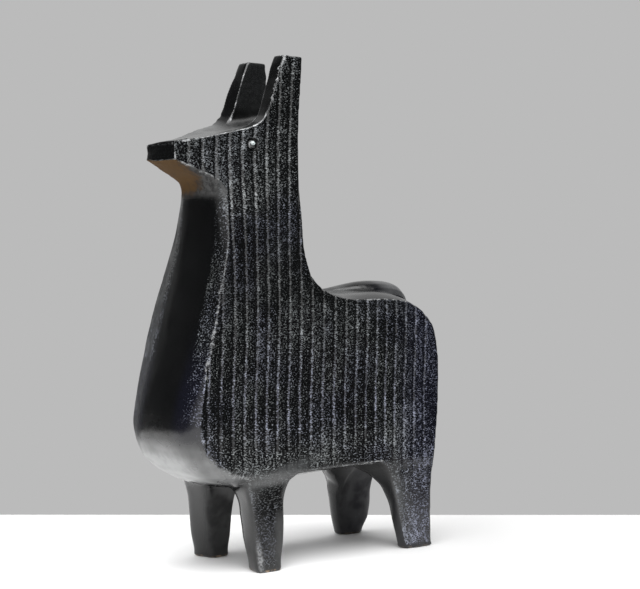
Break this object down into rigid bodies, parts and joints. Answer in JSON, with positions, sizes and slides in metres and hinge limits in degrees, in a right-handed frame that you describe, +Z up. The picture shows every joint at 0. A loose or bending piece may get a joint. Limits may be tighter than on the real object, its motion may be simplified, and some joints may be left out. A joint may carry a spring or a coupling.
{
  "type": "llama sculpture",
  "caption": "Standing llama figure in black glazed stoneware, with ribbed flanks, a wedge head, upright ears and a ridge for the tail.",
  "frame": {"origin": "on the ground under the middle of the figure's bounding box, level with the soles of the feet", "axes": "+Z up, -Y the way the llama looks, +X its left flank"},
  "size_m": [0.065, 0.177, 0.28],
  "materials": {
    "black_glaze": "black satin glaze with fine pale specks on the ribbed flanks, worn thin along its edges"
  },
  "bodies": {
    "root": {"llama_figure": "black_glaze"}
  },
  "joints": []
}
